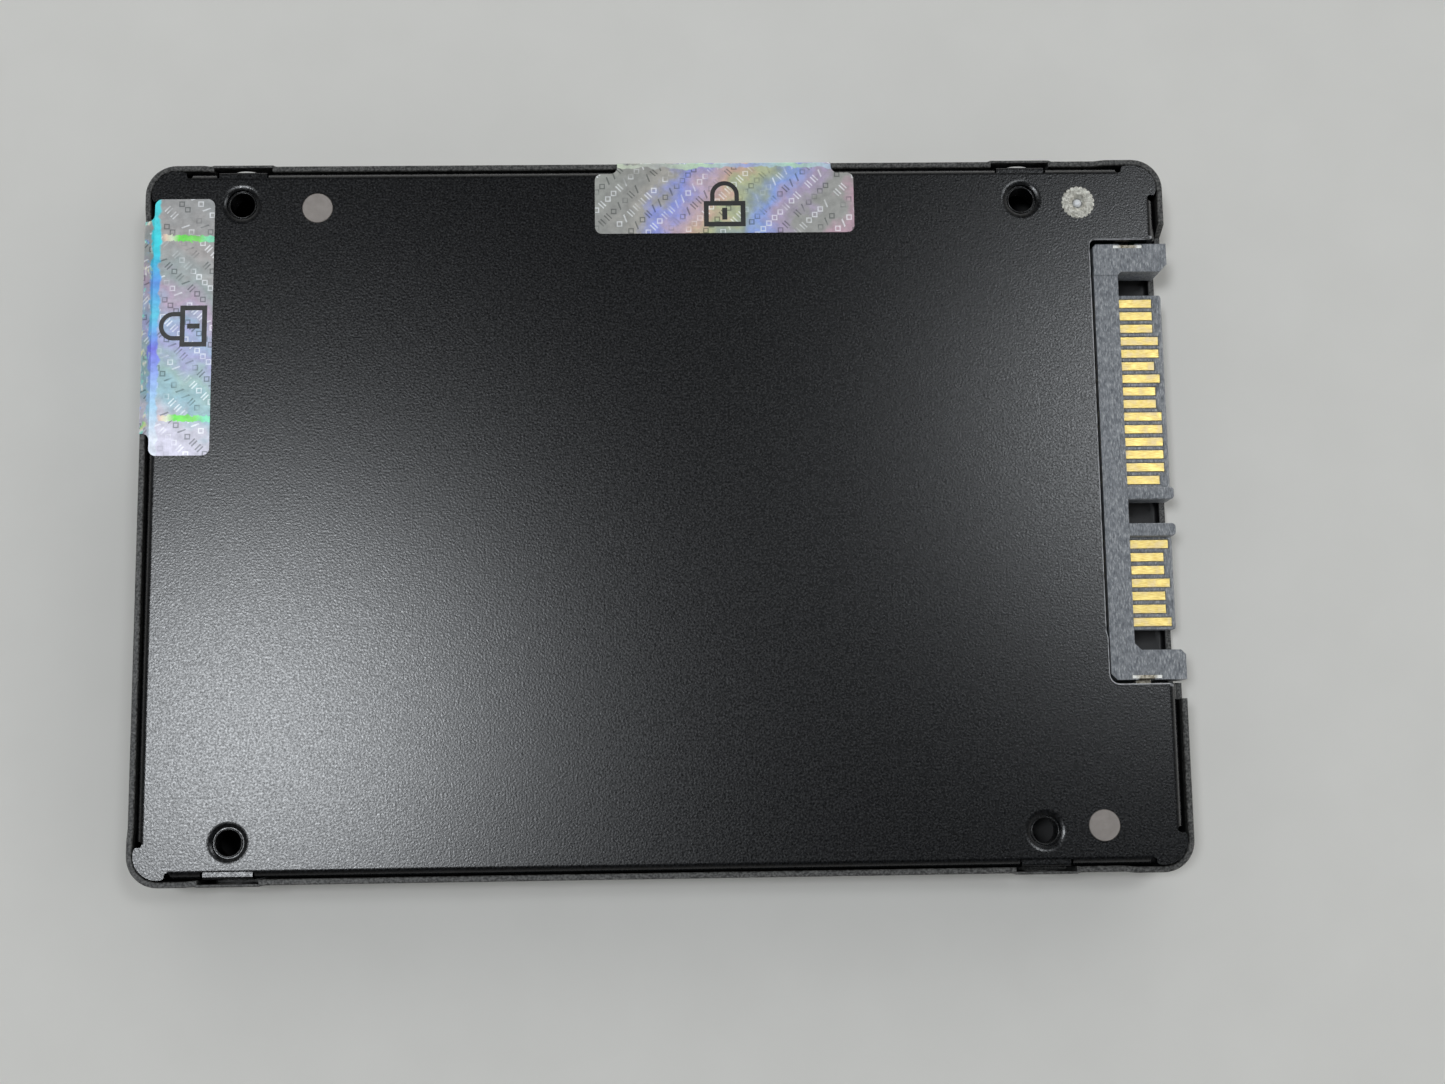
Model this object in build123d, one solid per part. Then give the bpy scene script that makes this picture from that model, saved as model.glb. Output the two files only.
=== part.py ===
from build123d import *
import math
import os

# A 2.5 inch, 7 mm solid state drive, in millimetres.
# Origin: centre of the rectangle the drive covers, on the face it rests on (the label side, z = 0).
# The connector's datum plane, from which the mounting holes are dimensioned, is x = 50.
# +X points to the connector end, +Y to the power side of the connector, +Z to the mounting-hole face.
# A deep-drawn tray (label side) holds the circuit board. A sheet-metal cover with bent-down flanges
# drops inside the tray's walls and carries the tapped mounting holes. Three press-in pins lock the
# cover, the board and three bushes of the tray together.

# ---- envelope ----
LENGTH = 100.2
WIDTH = 69.85
HEIGHT = 7.0

# ---- mounting holes, M3 ----
MOUNT_X = (36.0, -40.6)            # 14.0 and 90.6 mm from the connector end
MOUNT_Y = 30.86                    # bottom holes, 61.72 mm apart
SIDE_HOLE_Z = HEIGHT - 3.0         # side holes, 3.0 mm from the mounting face
TAP_R = 1.25                       # minor radius of an M3 thread
COLLAR_R = 1.8
COLLAR_Z = 4.3                     # lower end of the extruded, tapped collars

# ---- tray ----
TRAY_SHIFT = 0.03                  # the tray is not quite centred on the mounting holes
WALL = 0.56
FLOOR = 0.7
RIM_Z = 6.75
CORNER_R = 3.0
LONG_INSET = 0.125                 # the straight walls stand slightly inside the drawn corners
END_INSET = 0.10
LONG_FACE = WIDTH / 2 - LONG_INSET
END_FACE = LENGTH / 2 - END_INSET - TRAY_SHIFT
FRONT_FACE = LENGTH / 2 + TRAY_SHIFT
OPENING_Y = (-18.6, 28.3)          # gap in the connector-end wall
OPENING_Z = 4.8                    # height of the wall left beside the connector
LIP_Y = (-17.0, 26.55)
LIP_Z = 1.8                        # height of the wall left below the connector
SHELF_X = (43.0, 48.75)            # thicker stretch of floor under the connector
SHELF_Z = 1.15
POCKET_W = 5.75                    # thinned stretch of wall at each side hole, pushed out to the full width
POCKET_Z = 1.6
POCKET_SLANT = 0.35
SKIN = 0.25
SIDE_CLEAR_R = 1.62
LABEL_RECESS = (84.0, 58.0, 0.12)

# ---- cover ----
SHEET = 0.7
COVER_UNDER = HEIGHT - SHEET
FLANGE_X = 49.15                   # outer faces of the flanges
FLANGE_Y = 34.12
BEND_R = 0.78
FLANGE_Z = 4.9
TAB_W = 4.65                       # side tabs that carry the tapped side holes
TAB_Z = (1.9, HEIGHT - 0.26)
TAB_OUT = 34.25                    # outer face of the tabs
TAB_CREASE_Y = 33.52
RELIEF_W = 0.58
RELIEF_X = {1: 45.75, -1: 46.15}   # bend reliefs where the flanges end, on the +Y and -Y sides
RELIEF_Y = 30.9
CUT_X = 42.62                      # connector cut-out
CUT_Y = (-17.12, 26.63)
CUT_JOG = (-12.7, 0.15)            # below this y the cut-out's edge stands this much further in
CUT_BEVEL = 0.13

# ---- connector ----
PITCH = 1.27
POWER_COUNT = 15
SIGNAL_COUNT = 7
P15_Y = 20.675
S7_Y = -3.455
CONTACT_W = 0.84
CONTACT_T = 0.15
CONTACT_Z = 4.9                    # top of the contacts
GROOVE = 0.09                      # clearance of the grooves round them
TONGUE = (3.64, 4.87)
TONGUE_TIP = 50.0
RIB_TIP = 50.05
RIB_Z = 5.95
HOUSING_Y = (-16.75, 26.3)
HOUSING_X = (42.97, 50.25)
HOUSING_Z = (3.5, 6.65)
SPINE_FOOT_Z = 1.6
SPINE_X = 45.35
SPINE_DROP = 0.1                   # the spine and the lower arm are this much lower than the upper arm
SEAM_X = 47.7
ARM_W = 2.85
ARM_TIP = (0.45, 0.75)             # chamfers of the lower and the upper arm, at the tip and at the root
ARM_ROOT = (0.65, 0.3)
LONG_TIP = 49.45
SHORT_TIP = 48.95
LONG_POWER = (3, 4, 6, 9, 10, 11, 12, 13)   # counted from P15
LONG_SIGNAL = (0, 3, 6)                     # counted from S7

# ---- board ----
BOARD = (2.9, 3.9)
BOARD_X = (-48.2, 48.2)
BOARD_Y = 33.1
BOARD_NOTCH = (7.2, 27.6)          # width and inner edge of the notches round the mounting holes
BOARD_CUT_X = 42.6

# ---- pins ----
PIN_AT = ((-33.24, 30.45), (41.6, -30.45))
KNURL_AT = (41.6, 30.45)
PIN_HEAD_R = 1.5
PIN_BODY_R = 1.75
PIN_SHANK_R = 0.99
KNURL_R = 1.63
KNURL_TEETH = 21
CORE_R = 0.45

# ---- seals and label ----
FILM = 0.06
SEAL_LONG = 25.5
SEAL_NECK = 21.1
SEAL_CORNER = 0.7


def block(x, y, z):
    """Box given by its (low, high) limits along each axis."""
    size = Box(x[1] - x[0], y[1] - y[0], z[1] - z[0])
    return Pos((x[0] + x[1]) / 2, (y[0] + y[1]) / 2, (z[0] + z[1]) / 2) * size


def disc(x, y, r, z0, z1):
    return Pos(x, y, (z0 + z1) / 2) * Cylinder(r, z1 - z0)


def bored_y(x, y0, y1, z, r):
    """Cylinder along Y."""
    return Pos(x, (y0 + y1) / 2, z) * Rot(90, 0, 0) * Cylinder(r, y1 - y0)


def plate(sketch, z0, z1):
    return Pos(0, 0, z0) * extrude(sketch, z1 - z0)


def turned(points):
    """Solid of revolution about Z from (radius, height) points."""
    outline = make_face(Polyline([(r, 0, z) for r, z in points], close=True))
    return revolve(outline, Axis.Z)


def save(name, shape):
    """Write one node; a list is a group of separate solids."""
    if isinstance(shape, list):
        shape = Compound(children=shape)
    shape.label = name
    export_step(shape, f"parts/{name}.step")


# ---------------------------------------------------------------- tray

def tray_outline(pockets=False):
    """Plan of the tray: rounded corners, straight walls set slightly in between them and the pockets."""
    outline = Pos(TRAY_SHIFT, 0) * Rectangle(LENGTH, WIDTH)
    outline = fillet(outline.vertices(), CORNER_R)
    jog = 1.2
    half_x = 44.5
    half_y = 30.6
    for s in (1, -1):
        edge = s * WIDTH / 2
        inner = s * LONG_FACE
        outline -= make_face(Polyline(
            (-half_x, edge), (half_x, edge), (half_x - jog, inner), (-half_x + jog, inner), close=True))
        if pockets:
            for x in MOUNT_X:
                near = POCKET_W / 2
                far = near + POCKET_SLANT
                outline += make_face(Polyline(
                    (x - far, inner), (x - near, edge), (x + near, edge), (x + far, inner), close=True))
    edge = TRAY_SHIFT - LENGTH / 2
    outline -= make_face(Polyline(
        (edge, -half_y), (edge, half_y), (-END_FACE, half_y - jog), (-END_FACE, -half_y + jog), close=True))
    return outline


def top_shell():
    inside = offset(tray_outline(), amount=-WALL)
    shell = plate(tray_outline(pockets=True), 0, RIM_Z)
    shell = fillet(shell.edges().group_by(Axis.Z)[0], 0.7)
    hollow = plate(inside, FLOOR, HEIGHT)
    hollow = fillet(hollow.edges().group_by(Axis.Z)[0], 0.4)
    shell -= hollow
    shell = chamfer(shell.edges().group_by(Axis.Z)[-1], 0.08)
    shell -= wall_opening()
    shell += block(SHELF_X, LIP_Y, (FLOOR, SHELF_Z))
    for x in MOUNT_X:
        for s in (1, -1):
            shell -= side_pocket(x, s)
    length, width, depth = LABEL_RECESS
    recess = fillet(Rectangle(length, width).vertices(), 1.5)
    shell -= plate(recess, -0.01, depth)
    return shell


def wall_opening():
    """Gap in the connector-end wall: a step beside the connector, then down to a low lip."""
    y0, y1 = OPENING_Y
    l0, l1 = LIP_Y
    slant = 0.9
    outline = [(y0, 9), (y0, OPENING_Z), (l0, OPENING_Z), (l0, LIP_Z), (l1, LIP_Z), (l1, OPENING_Z),
               (y1 - slant, OPENING_Z), (y1, RIM_Z), (y1, 9)]
    face = make_face(Polyline([(FRONT_FACE - 1, y, z) for y, z in outline], close=True))
    return extrude(face, 2, dir=(1, 0, 0))


def side_pocket(x, s):
    """Thinned wall and screw clearance hole at one side mount."""
    face = WIDTH / 2
    span = sorted((s * (face - SKIN), s * (face - 1.5)))
    pocket = block((x - POCKET_W / 2, x + POCKET_W / 2), span, (POCKET_Z, HEIGHT))
    hole = sorted((s * (face - 1.5), s * (face + 0.5)))
    return pocket + bored_y(x, hole[0], hole[1], SIDE_HOLE_Z, SIDE_CLEAR_R)


# ---------------------------------------------------------------- cover

def hole_form(depth):
    """Space of one tapped hole, cut down from HEIGHT: soft roll-over, groove, rounded mouth and bore."""
    rim_r = 2.0
    edge_r = 1.5
    roll = 1.1
    turn = math.asin((rim_r - edge_r) / roll)
    centre_z = HEIGHT - roll
    top = (rim_r, 0, HEIGHT)
    middle = (rim_r - roll * math.sin(turn / 2), 0, centre_z + roll * math.cos(turn / 2))
    edge = (edge_r, 0, centre_z + roll * math.cos(turn))
    arc = ThreePointArc(top, middle, edge)
    lip_r = (TAP_R + 0.1, TAP_R + 0.05, TAP_R)
    groove_z = HEIGHT - 0.42
    groove = Polyline(edge, (edge_r - 0.06, 0, groove_z), (lip_r[0], 0, groove_z))
    mouth = (lip_r[2], 0, groove_z - 0.02)
    lip = ThreePointArc((lip_r[0], 0, groove_z), (lip_r[1], 0, groove_z + 0.14), mouth)
    low = HEIGHT - depth
    above = HEIGHT + 0.5
    bore = Polyline(mouth, (TAP_R, 0, low), (0, 0, low), (0, 0, above), (rim_r, 0, above), top)
    return revolve(make_face([arc, groove, lip, bore]), Axis.Z)


def corner_tabs():
    """Flat corners of the cover: they follow the tray's inner corners and curve off at the bend reliefs."""
    flat = offset(tray_outline(), amount=-(WALL + 0.15))
    reach = 10
    curve = 0.85
    corners = None
    for sx in (1, -1):
        for sy in (1, -1):
            x0 = sx * RELIEF_X[sy]
            y0 = sy * RELIEF_Y
            piece = flat & Pos(x0 + sx * reach / 2, y0 + sy * reach / 2) * Rectangle(reach, reach)
            on_x = piece.vertices().filter_by_position(Axis.X, x0 - 0.01, x0 + 0.01)
            on_y = piece.vertices().filter_by_position(Axis.Y, y0 - 0.01, y0 + 0.01)
            far = [max(on_x, key=lambda v: abs(v.Y)), max(on_y, key=lambda v: abs(v.X))]
            piece = fillet(far, curve)
            corners = piece if corners is None else corners + piece
    return plate(corners, COVER_UNDER, HEIGHT)


def cut_out():
    """Connector cut-out; its long inner edge steps in near the lower corner."""
    y0, y1 = CUT_Y
    jog_y, jog = CUT_JOG
    x1 = FRONT_FACE + 2
    shape = make_face(Polyline(
        (CUT_X + jog, y0), (x1, y0), (x1, y1), (CUT_X, y1),
        (CUT_X, jog_y + 0.6), (CUT_X + jog, jog_y), close=True))
    lower = shape.vertices().filter_by_position(Axis.Y, y0 - 0.01, y0 + 0.01).sort_by(Axis.X)[0]
    shape = fillet(lower, 0.95)
    upper = shape.vertices().filter_by_position(Axis.Y, y1 - 0.01, y1 + 0.01).sort_by(Axis.X)[0]
    shape = fillet(upper, 0.45)
    return plate(shape, 0, HEIGHT + 1)


def side_tab(x, s):
    """Deeper flange with the tapped side hole, stepped down from the cover's face."""
    inner = FLANGE_Y - SHEET
    tab = block((x - TAB_W / 2, x + TAB_W / 2), sorted((s * inner, s * TAB_OUT)), TAB_Z)
    top = tab.edges().filter_by(Axis.X).group_by(Axis.Z)[-1]
    tab = fillet(max(top, key=lambda edge: abs(edge.center().Y)), 0.28)
    collar = sorted((s * (inner - 0.35), s * inner))
    return tab + bored_y(x, collar[0], collar[1], SIDE_HOLE_Z, COLLAR_R - 0.05)


def side_tab_cuts(x, s):
    """Room above the tab, the two relief slots beside it and the tapped hole."""
    half = TAB_W / 2
    slot = 0.2
    outside = 36
    cuts = block((x - half, x + half), sorted((s * TAB_CREASE_Y, s * outside)), (TAB_Z[1], HEIGHT + 1))
    slot_y = sorted((s * (TAB_CREASE_Y + 0.02), s * outside))
    for side in (x - half - slot, x + half):
        cuts += block((side, side + slot), slot_y, (TAB_Z[0] - 1, HEIGHT + 1))
    form = Rot(-90 * s, 0, 0) * Pos(0, 0, -HEIGHT) * hole_form(TAB_OUT - FLANGE_Y + SHEET + 0.6)
    return cuts + Pos(x, s * TAB_OUT, SIDE_HOLE_Z) * form


def bend_reliefs():
    """Round-ended notches between the flanges and the corner tabs."""
    depth = 0.6
    cuts = None
    for sx in (1, -1):
        for sy in (1, -1):
            near_y = sy * (FLANGE_Y - depth + RELIEF_W / 2)
            near_x = sx * (FLANGE_X - depth + RELIEF_W / 2)
            end_x = sx * RELIEF_X[sy]
            along_y = disc(end_x, near_y, RELIEF_W / 2, FLANGE_Z - 1, HEIGHT + 1)
            x_span = (end_x - RELIEF_W / 2, end_x + RELIEF_W / 2)
            along_y += block(x_span, sorted((near_y, sy * 36)), (FLANGE_Z - 1, HEIGHT + 1))
            along_x = disc(near_x, sy * RELIEF_Y, RELIEF_W / 2, FLANGE_Z - 1, HEIGHT + 1)
            y_span = (sy * RELIEF_Y - RELIEF_W / 2, sy * RELIEF_Y + RELIEF_W / 2)
            along_x += block(sorted((near_x, sx * 51)), y_span, (FLANGE_Z - 1, HEIGHT + 1))
            pair = along_y + along_x
            cuts = pair if cuts is None else cuts + pair
    return cuts


def bottom_cover():
    pan = block((-FLANGE_X, FLANGE_X), (-FLANGE_Y, FLANGE_Y), (FLANGE_Z, HEIGHT))
    pan = fillet(pan.edges().group_by(Axis.Z)[-1], BEND_R)
    inner_x = FLANGE_X - SHEET
    inner_y = FLANGE_Y - SHEET
    pan -= block((-inner_x, inner_x), (-inner_y, inner_y), (0, COVER_UNDER))
    for sx in (1, -1):
        for sy in (1, -1):
            pan -= block(sorted((sx * RELIEF_X[sy], sx * 51)), sorted((sy * RELIEF_Y, sy * 36)), (0, 8))
    cover = pan + corner_tabs()
    for x in MOUNT_X:
        for s in (1, -1):
            cover += side_tab(x, s)
            cover += disc(x, s * MOUNT_Y, COLLAR_R + 0.5, COVER_UNDER - 0.4, COVER_UNDER)
            cover += disc(x, s * MOUNT_Y, COLLAR_R, COLLAR_Z, COVER_UNDER)
    form = hole_form(3.0)
    for x in MOUNT_X:
        for s in (1, -1):
            cover -= side_tab_cuts(x, s)
            cover -= Pos(x, s * MOUNT_Y, 0) * form
    cover -= bend_reliefs()
    cover -= cut_out()
    top_edges = cover.edges().filter_by_position(Axis.Z, HEIGHT - 0.01, HEIGHT + 0.01)
    cut_edges = top_edges.filter_by_position(Axis.X, CUT_X - 0.2, FLANGE_X - BEND_R - 0.05)
    cut_edges = cut_edges.filter_by_position(Axis.Y, CUT_Y[0] - 0.1, CUT_Y[1] + 0.1)
    cover = chamfer(cut_edges, CUT_BEVEL)
    for x, y in PIN_AT + (KNURL_AT,):
        cover -= disc(x, y, PIN_HEAD_R + 0.03, COVER_UNDER - 1, HEIGHT + 1)
    return cover


# ---------------------------------------------------------------- board

def circuit_board():
    board = block(BOARD_X, (-BOARD_Y, BOARD_Y), BOARD)
    board = fillet(board.edges().filter_by(Axis.Z), 1.5)
    width, inner = BOARD_NOTCH
    for x in MOUNT_X:
        for s in (1, -1):
            notch = block((x - width / 2, x + width / 2), sorted((s * inner, s * 40)), (0, HEIGHT))
            board -= notch
    board -= block((BOARD_CUT_X, 52), (CUT_Y[0] - 0.1, CUT_Y[1] + 0.1), (0, HEIGHT))
    for x, y in PIN_AT + (KNURL_AT,):
        board -= disc(x, y, 1.15, 0, HEIGHT)
    return board


def on_top(at, size):
    """Chip-like block standing on the cover side of the board, given by centre and size."""
    x, y = at
    length, width, height = size
    span_x = (x - length / 2, x + length / 2)
    span_y = (y - width / 2, y + width / 2)
    body = block(span_x, span_y, (BOARD[1], BOARD[1] + height))
    return chamfer(body.edges().group_by(Axis.Z)[-1], min(height, width) * 0.08)


def underneath(at, size):
    """The same on the tray side of the board."""
    return mirror(on_top(at, size), Plane.XY.offset((BOARD[0] + BOARD[1]) / 2))


NAND_SIZE = (12.0, 18.0, 1.2)
NAND_AT = [(x, y) for x in (-36.0, -21.0) for y in (-11.0, 11.0)]
CONTROLLER_AT = (4.0, 0.0)
CONTROLLER_SIZE = (17.0, 17.0, 1.3)
HOLD_UP_AT = [(x, y) for y in (-24.5, 24.5) for x in (-20, -12, -4, 4, 12, 20)]
DRAM_AT = [(20.0, -9.0), (20.0, 9.0)]


def two_rows(x_values, y_values):
    return [(x, y) for y in y_values for x in x_values]


def board_parts():
    """Every soldered component, as node name to list of solids."""
    around = [4 + 1.6 * i for i in range(-5, 6)]
    return {
        "controller_chip": [on_top(CONTROLLER_AT, CONTROLLER_SIZE)],
        "dram_chips": [on_top(at, (8.0, 12.0, 1.0)) for at in DRAM_AT],
        "nand_packages_cover_side": [on_top(at, NAND_SIZE) for at in NAND_AT],
        "nand_packages_label_side": [underneath(at, NAND_SIZE) for at in NAND_AT],
        "power_management_chip": [on_top((31.0, 9.0), (6.0, 6.0, 0.9))],
        "power_inductors": [on_top((31.0, y), (4.0, 4.0, 1.8)) for y in (2.0, -4.0, -10.0)],
        "hold_up_capacitors": [on_top(at, (7.3, 4.3, 1.9)) for at in HOLD_UP_AT],
        "ceramic_capacitors": [on_top(at, (1.0, 0.5, 0.5)) for at in two_rows(around, (-11.5, 11.5))],
        "chip_resistors": [on_top(at, (0.5, 1.0, 0.35)) for at in two_rows(around, (-14.0, 14.0))],
        "crystal_oscillator": [on_top((-7.5, 14.5), (3.2, 2.5, 0.8))],
        "serial_flash_chip": [on_top((-8.0, -15.0), (5.0, 6.0, 1.0))],
        "input_fuses": [on_top((38.0, y), (3.2, 1.6, 0.9)) for y in (12.0, 15.0)],
    }


def thermal_pads():
    """Soft pads between the packages and the metal case."""
    x, y = CONTROLLER_AT
    controller_top = BOARD[1] + CONTROLLER_SIZE[2]
    nand_top = BOARD[1] + NAND_SIZE[2]
    nand_low = BOARD[0] - NAND_SIZE[2]
    controller = block((x - 8, x + 8), (y - 8, y + 8), (controller_top, COVER_UNDER))
    strips = []
    for strip_x in (-36.0, -21.0):
        span = (strip_x - 5.5, strip_x + 5.5)
        strips.append(block(span, (-19.5, 19.5), (nand_top, COVER_UNDER)))
        strips.append(block(span, (-19.5, 19.5), (FLOOR, nand_low)))
    return controller, strips


# ---------------------------------------------------------------- connector

def housing_frame():
    """C-shaped frame: a spine with a guide arm at each end."""
    x0, x1 = HOUSING_X
    y0, y1 = HOUSING_Y
    a0 = y0 + ARM_W
    a1 = y1 - ARM_W
    tip0, tip1 = ARM_TIP
    root0, root1 = ARM_ROOT
    cut = 0.6
    outline = make_face(Polyline(
        (x0 + cut, y0), (x1, y0), (x1, a0 - tip0), (x1 - tip0, a0),
        (SPINE_X + root0, a0), (SPINE_X, a0 + root0), (SPINE_X, a1 - root1), (SPINE_X + root1, a1),
        (x1 - tip1, a1), (x1, a1 + tip1), (x1, y1), (x0 + cut / 2, y1),
        (x0, y1 - cut / 2), (x0, y0 + cut), close=True))
    frame = plate(outline, *HOUSING_Z)
    frame = chamfer(frame.edges().group_by(Axis.Z)[-1], 0.07)
    frame -= block((x0 - 1, x1 + 1), (y0 - 1, a1 - root1), (HOUSING_Z[1] - SPINE_DROP, 8))
    frame -= block((SEAM_X, x1 + 1), (y0 - 1, a0), (HOUSING_Z[1] - SPINE_DROP - 0.04, 8))
    foot = block((x0 + 0.9, SPINE_X - 0.2), (y0 + 0.5, y1 - 0.5), (SPINE_FOOT_Z, HOUSING_Z[0]))
    return frame + foot


def tongue(y0, y1, tip):
    """Flat contact carrier with a bevelled tip."""
    z0, z1 = TONGUE
    profile = make_face(Polyline(
        (SPINE_X - 0.5, y0, z0), (tip - 0.35, y0, z0), (tip, y0, z0 + 0.35), (tip, y0, z1 - 0.22),
        (tip - 0.22, y0, z1), (SPINE_X - 0.5, y0, z1), close=True))
    body = extrude(profile, y1 - y0, dir=(0, 1, 0))
    return fillet(body.edges().filter_by(Axis.Z).group_by(Axis.X)[-1], 0.3)


def key_rib(y0, y1):
    """Raised leg of the L-shaped tongue, with rounded corners at its nose."""
    rib = block((SPINE_X - 0.5, RIB_TIP), (y0, y1), (TONGUE[0], RIB_Z))
    rib = fillet(rib.edges().filter_by(Axis.Z).group_by(Axis.X)[-1], 0.4)
    return chamfer(rib.edges().group_by(Axis.Z)[-1], 0.1)


def contact(y, tip):
    """One contact: blade on the tongue, through the spine, down to a foot on the board."""
    half = CONTACT_W / 2
    low = CONTACT_Z - CONTACT_T
    leg = (42.1, 42.1 + CONTACT_T)
    span = (y - half, y + half)
    blade = block((leg[0], tip), span, (low, CONTACT_Z))
    blade = chamfer(blade.edges().group_by(Axis.Z)[-1].filter_by(Axis.X), 0.03)
    down = block(leg, span, (BOARD[1], CONTACT_Z - 0.05))
    foot = block((40.9, leg[1]), span, (BOARD[1], BOARD[1] + CONTACT_T))
    return blade + down + foot


def contact_groove(y, tip):
    """Groove that the blade lies in, open past its sides and tip."""
    half = CONTACT_W / 2 + GROOVE
    return block((SPINE_X, tip + GROOVE), (y - half, y + half), (CONTACT_Z - CONTACT_T, CONTACT_Z + 0.2))


def contact_row(first_y, count, long_ones):
    """Place and tip of each contact in a row."""
    return [(first_y - i * PITCH, LONG_TIP if i in long_ones else SHORT_TIP) for i in range(count)]


def at_lower_end(shape):
    """Copy of a piece of the upper arm, mirrored to the lower arm."""
    centre = (HOUSING_Y[0] + HOUSING_Y[1]) / 2
    return mirror(shape, Plane.XZ.offset(-centre))


def hold_down():
    """Steel clip at the upper arm: a bar in the arm's slot, a strap over its wall, a foot on the board."""
    bar = block((45.0, 47.85), (25.88, 26.18), (4.4, 6.56))
    strap = block((45.65, 47.1), (26.18, 26.62), (4.9, 5.15))
    leg = block((45.65, 47.1), (26.38, 26.62), (BOARD[1], 5.15))
    foot = block((45.65, 47.1), (26.38, 27.9), (BOARD[1], BOARD[1] + 0.25))
    return bar + strap + leg + foot


def hold_down_slot():
    """Room for the clip in the upper arm."""
    slot = block((44.95, 47.9), (25.86, 26.2), (4.4, 8))
    return slot + block((45.6, 47.15), (26.1, 27.5), (3.0, 8))


def sata_housing(rows):
    housing = housing_frame()
    housing += tongue(2.0, 21.5, TONGUE_TIP)
    housing += tongue(-11.8, -2.7, TONGUE_TIP - 0.1)
    housing += key_rib(0.83, 2.05)
    housing += key_rib(-2.78, -1.53)
    for y, tip in rows:
        housing -= contact_groove(y, tip)
    slot = hold_down_slot()
    housing -= slot
    housing -= at_lower_end(slot)
    for y, tip in rows:
        housing -= contact(y, tip)
    return housing


# ---------------------------------------------------------------- pins

def flush_pin(x, y):
    """Press-in pin: head flush in the cover, shoulder on the board, shank in the tray's bush."""
    pin = turned([
        (0, 1.0), (PIN_SHANK_R - 0.25, 1.0), (PIN_SHANK_R, 1.3), (PIN_SHANK_R, BOARD[1]),
        (PIN_BODY_R, BOARD[1]), (PIN_BODY_R, COVER_UNDER), (PIN_HEAD_R, COVER_UNDER),
        (PIN_HEAD_R, HEIGHT - 0.06), (PIN_HEAD_R - 0.06, HEIGHT), (0, HEIGHT)])
    return Pos(x, y, 0) * pin


def knurled_pin():
    """Press-in pin with a toothed rim on the cover and a dished, bored centre."""
    top = HEIGHT + 0.06
    dish_r = 0.85
    bore_r = CORE_R + 0.01
    pin = turned([
        (bore_r, 1.0), (PIN_SHANK_R - 0.25, 1.0), (PIN_SHANK_R, 1.3), (PIN_SHANK_R, BOARD[1]),
        (PIN_BODY_R, BOARD[1]), (PIN_BODY_R, COVER_UNDER), (PIN_HEAD_R, COVER_UNDER),
        (PIN_HEAD_R, HEIGHT), (KNURL_R, HEIGHT), (KNURL_R, top - 0.03), (KNURL_R - 0.06, top),
        (dish_r, top), (bore_r, top - 0.28)])
    tooth_gap = (-0.11, 0.11)
    for i in range(KNURL_TEETH):
        groove = Pos(KNURL_R + 0.02, 0, 0) * Rot(0, 0, 45) * block(tooth_gap, tooth_gap, (HEIGHT, 8))
        pin -= Rot(0, 0, 360.0 * i / KNURL_TEETH) * groove
    return Pos(KNURL_AT[0], KNURL_AT[1], 0) * pin


def knurled_pin_core():
    """Drive core of the knurled pin, with a domed end."""
    top = HEIGHT - 0.02
    core = disc(0, 0, CORE_R, 1.2, top)
    core = fillet(core.edges().group_by(Axis.Z)[-1], CORE_R * 0.8)
    return Pos(KNURL_AT[0], KNURL_AT[1], 0) * core


def tray_bush(x, y):
    """Bush fixed to the tray's floor: it carries the board and grips a pin's shank."""
    bore = PIN_SHANK_R + 0.01
    ring = turned([
        (bore, FLOOR), (2.6, FLOOR), (2.6, FLOOR + 0.3), (2.1, FLOOR + 0.5),
        (2.1, BOARD[0]), (bore, BOARD[0])])
    return Pos(x, y, 0) * ring


# ---------------------------------------------------------------- seals and label

def film_strip(start, flat_end, wall, foot_z):
    """Section of a seal in the X-Z plane: on the cover, over the rim, down the wall at x = wall."""
    low = [(start, HEIGHT), (flat_end, HEIGHT),
           (wall - 0.06, RIM_Z + 0.01), (wall, RIM_Z - 0.05), (wall, foot_z)]
    high = [(wall + FILM, foot_z), (wall + FILM, RIM_Z - 0.03), (wall - 0.04, RIM_Z + 0.01 + FILM),
            (flat_end, HEIGHT + FILM), (start, HEIGHT + FILM)]
    return make_face(Polyline([(x, 0, z) for x, z in low + high], close=True))


def seal(start, shoulder, flat_end, wall, foot_z):
    """Tamper seal running over the +X edge, centred on y = 0: wide on the cover, a neck past it."""
    section = Pos(0, -SEAL_LONG / 2, 0) * film_strip(start, flat_end, wall, foot_z)
    strip = extrude(section, SEAL_LONG, dir=(0, 1, 0))
    wide = Pos((start + shoulder) / 2, 0) * Rectangle(shoulder - start, SEAL_LONG)
    neck = Pos((start + 2 + wall + 1) / 2, 0) * Rectangle(wall + 1 - start - 2, SEAL_NECK)
    outline = wide + neck
    corners = [corner for corner in outline.vertices() if corner.X < wall]
    return strip & plate(fillet(corners, SEAL_CORNER), 0, HEIGHT + 1)


def side_seal():
    """Over the long wall on the +Y side."""
    piece = seal(27.6, 33.7, 33.5, LONG_FACE, 1.5)
    return Pos(6.65, 0, 0) * Rot(0, 0, 90) * piece


def end_seal():
    """Over the short wall on the -X side."""
    piece = seal(43.2, 49.0, 49.0, END_FACE, 1.5)
    return Pos(0, 18.65, 0) * Rot(0, 0, 180) * piece


def front_label():
    """Blank label in the shallow recess of the tray's outer face."""
    length, width, depth = LABEL_RECESS
    sheet = fillet(Rectangle(length - 1, width - 1).vertices(), 1.2)
    return plate(sheet, depth - 0.08, depth)


# ---------------------------------------------------------------- build

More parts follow.
